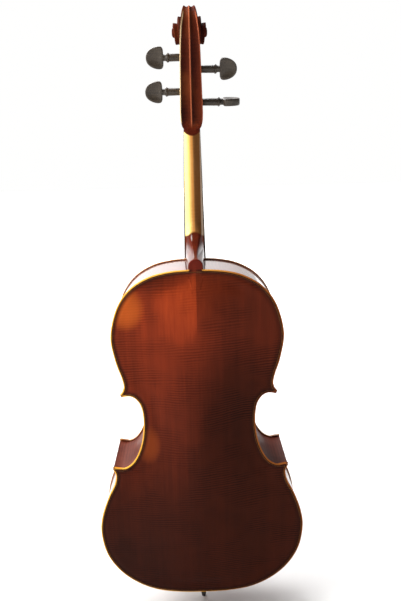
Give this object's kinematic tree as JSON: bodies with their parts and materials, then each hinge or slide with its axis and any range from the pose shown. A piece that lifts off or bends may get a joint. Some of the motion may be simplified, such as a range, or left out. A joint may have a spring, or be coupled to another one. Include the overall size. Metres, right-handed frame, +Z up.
{
  "type": "cello",
  "caption": "Full-size cello with arched plates, flat ribs, scroll, turning pegs, tuning tailpiece and a sliding endpin.",
  "frame": {"origin": "lowest point of the endpin's tip with the endpin pushed home, on the centre line", "axes": "+Z up along the instrument, -Y the side of the strings, +Y the back, +X the treble side with the A string"},
  "size_m": [0.4464, 0.2645, 1.2976],
  "materials": {
    "varnished_maple": "glossy red-brown varnish over flamed maple",
    "varnished_spruce": "glossy red-brown varnish over straight-grained spruce",
    "raw_wood": "bare wood",
    "purfling": "dark inlay",
    "neck_maple": "oiled bare maple, varnished at the heel and head",
    "ebony": "polished dark wood",
    "ebony_peg": "satin dark brown wood",
    "bridge_maple": "satin pale maple",
    "tailpiece_black": "satin black",
    "tail_cord": "black cord",
    "string_steel": "wound steel",
    "nickel": "bright nickel",
    "brass": "polished",
    "rubber": "matt black"
  },
  "bodies": {
    "body": {"back_bass": "varnished_maple", "back_treble": "varnished_maple", "top_bass": "varnished_spruce", "top_treble": "varnished_spruce", "back_purfling": "purfling", "top_purfling": "purfling", "rib_upper_bass": "varnished_maple", "rib_upper_treble": "varnished_maple", "rib_c_bass": "varnished_maple", "rib_c_treble": "varnished_maple", "rib_lower_bass": "varnished_maple", "rib_lower_treble": "varnished_maple", "back_linings": "raw_wood", "top_linings": "raw_wood", "neck_block": "raw_wood", "end_block": "raw_wood", "corner_blocks": "raw_wood", "bass_bar": "raw_wood", "sound_post": "raw_wood", "neck": "neck_maple", "fingerboard": "ebony", "nut": "ebony", "saddle": "ebony", "bridge": "bridge_maple", "tailpiece": "tailpiece_black", "tailgut": "tail_cord", "string_c": "string_steel", "string_g": "string_steel", "string_d": "string_steel", "string_a": "string_steel", "endpin_plug": "ebony", "endpin_collar": "nickel"},
    "peg_c": {"peg_c": "ebony_peg", "winding_c": "string_steel"},
    "peg_g": {"peg_g": "ebony_peg", "winding_g": "string_steel"},
    "peg_d": {"peg_d": "ebony_peg", "winding_d": "string_steel"},
    "peg_a": {"peg_a": "ebony_peg", "winding_a": "string_steel"},
    "screw_c": {"screw_c": "brass"},
    "knob_c": {"knob_c": "brass"},
    "lever_c": {"lever_c": "nickel", "ball_c": "brass"},
    "screw_g": {"screw_g": "brass"},
    "knob_g": {"knob_g": "brass"},
    "lever_g": {"lever_g": "nickel", "ball_g": "brass"},
    "screw_d": {"screw_d": "brass"},
    "knob_d": {"knob_d": "brass"},
    "lever_d": {"lever_d": "nickel", "ball_d": "brass"},
    "screw_a": {"screw_a": "brass"},
    "knob_a": {"knob_a": "brass"},
    "lever_a": {"lever_a": "nickel", "ball_a": "brass"},
    "endpin": {"endpin_rod": "nickel", "endpin_tip": "rubber"},
    "endpin_screw": {"endpin_screw": "nickel"}
  },
  "joints": [
    {"name": "peg_c_turn", "type": "hinge", "parent": "body", "child": "peg_c", "pos_m": [0, -0.00052, 1.134], "axis": [-1, 0, 0], "continuous": true},
    {"name": "peg_g_turn", "type": "hinge", "parent": "body", "child": "peg_g", "pos_m": [0, 0.01103, 1.19084], "axis": [-1, 0, 0], "continuous": true},
    {"name": "peg_d_turn", "type": "hinge", "parent": "body", "child": "peg_d", "pos_m": [0, 0.01781, 1.21094], "axis": [1, 0, 0], "continuous": true},
    {"name": "peg_a_turn", "type": "hinge", "parent": "body", "child": "peg_a", "pos_m": [0, 0.00804, 1.15275], "axis": [1, 0, 0], "continuous": true},
    {"name": "screw_c_advance", "type": "slide", "parent": "body", "child": "screw_c", "axis": [0, 0.9588, 0.284], "range_m": [0, 0.004]},
    {"name": "knob_c_turn", "type": "hinge", "parent": "screw_c", "child": "knob_c", "pos_m": [-0.021, -0.1499, 0.27033], "axis": [0, 0.9588, 0.284], "range_deg": [0, 2058]},
    {"name": "lever_c_tilt", "type": "hinge", "parent": "body", "child": "lever_c", "pos_m": [-0.021, -0.1435, 0.291], "axis": [1, 0, 0], "range_deg": [0, 15]},
    {"name": "screw_g_advance", "type": "slide", "parent": "body", "child": "screw_g", "axis": [0, 0.9588, 0.284], "range_m": [0, 0.004]},
    {"name": "knob_g_turn", "type": "hinge", "parent": "screw_g", "child": "knob_g", "pos_m": [-0.007, -0.15316, 0.26936], "axis": [0, 0.9588, 0.284], "range_deg": [0, 2058]},
    {"name": "lever_g_tilt", "type": "hinge", "parent": "body", "child": "lever_g", "pos_m": [-0.007, -0.14676, 0.29003], "axis": [1, 0, 0], "range_deg": [0, 15]},
    {"name": "screw_d_advance", "type": "slide", "parent": "body", "child": "screw_d", "axis": [0, 0.9588, 0.284], "range_m": [0, 0.004]},
    {"name": "knob_d_turn", "type": "hinge", "parent": "screw_d", "child": "knob_d", "pos_m": [0.007, -0.15316, 0.26936], "axis": [0, 0.9588, 0.284], "range_deg": [0, 2058]},
    {"name": "lever_d_tilt", "type": "hinge", "parent": "body", "child": "lever_d", "pos_m": [0.007, -0.14676, 0.29003], "axis": [1, 0, 0], "range_deg": [0, 15]},
    {"name": "screw_a_advance", "type": "slide", "parent": "body", "child": "screw_a", "axis": [0, 0.9588, 0.284], "range_m": [0, 0.004]},
    {"name": "knob_a_turn", "type": "hinge", "parent": "screw_a", "child": "knob_a", "pos_m": [0.021, -0.1499, 0.27033], "axis": [0, 0.9588, 0.284], "range_deg": [0, 2058]},
    {"name": "lever_a_tilt", "type": "hinge", "parent": "body", "child": "lever_a", "pos_m": [0.021, -0.1435, 0.291], "axis": [1, 0, 0], "range_deg": [0, 15]},
    {"name": "endpin_slide", "type": "slide", "parent": "body", "child": "endpin", "axis": [0, 0, -1], "range_m": [0, 0.3]},
    {"name": "endpin_screw_turn", "type": "hinge", "parent": "body", "child": "endpin_screw", "pos_m": [0, 0.02, 0.046], "axis": [0, 1, 0], "continuous": true}
  ],
  "couplings": [
    {"joint": "knob_c_turn", "follows": "screw_c_advance", "rad_per_m": 8976},
    {"joint": "lever_c_tilt", "follows": "screw_c_advance", "rad_per_m": 63.28},
    {"joint": "knob_g_turn", "follows": "screw_g_advance", "rad_per_m": 8976},
    {"joint": "lever_g_tilt", "follows": "screw_g_advance", "rad_per_m": 63.28},
    {"joint": "knob_d_turn", "follows": "screw_d_advance", "rad_per_m": 8976},
    {"joint": "lever_d_tilt", "follows": "screw_d_advance", "rad_per_m": 63.28},
    {"joint": "knob_a_turn", "follows": "screw_a_advance", "rad_per_m": 8976},
    {"joint": "lever_a_tilt", "follows": "screw_a_advance", "rad_per_m": 63.28}
  ]
}
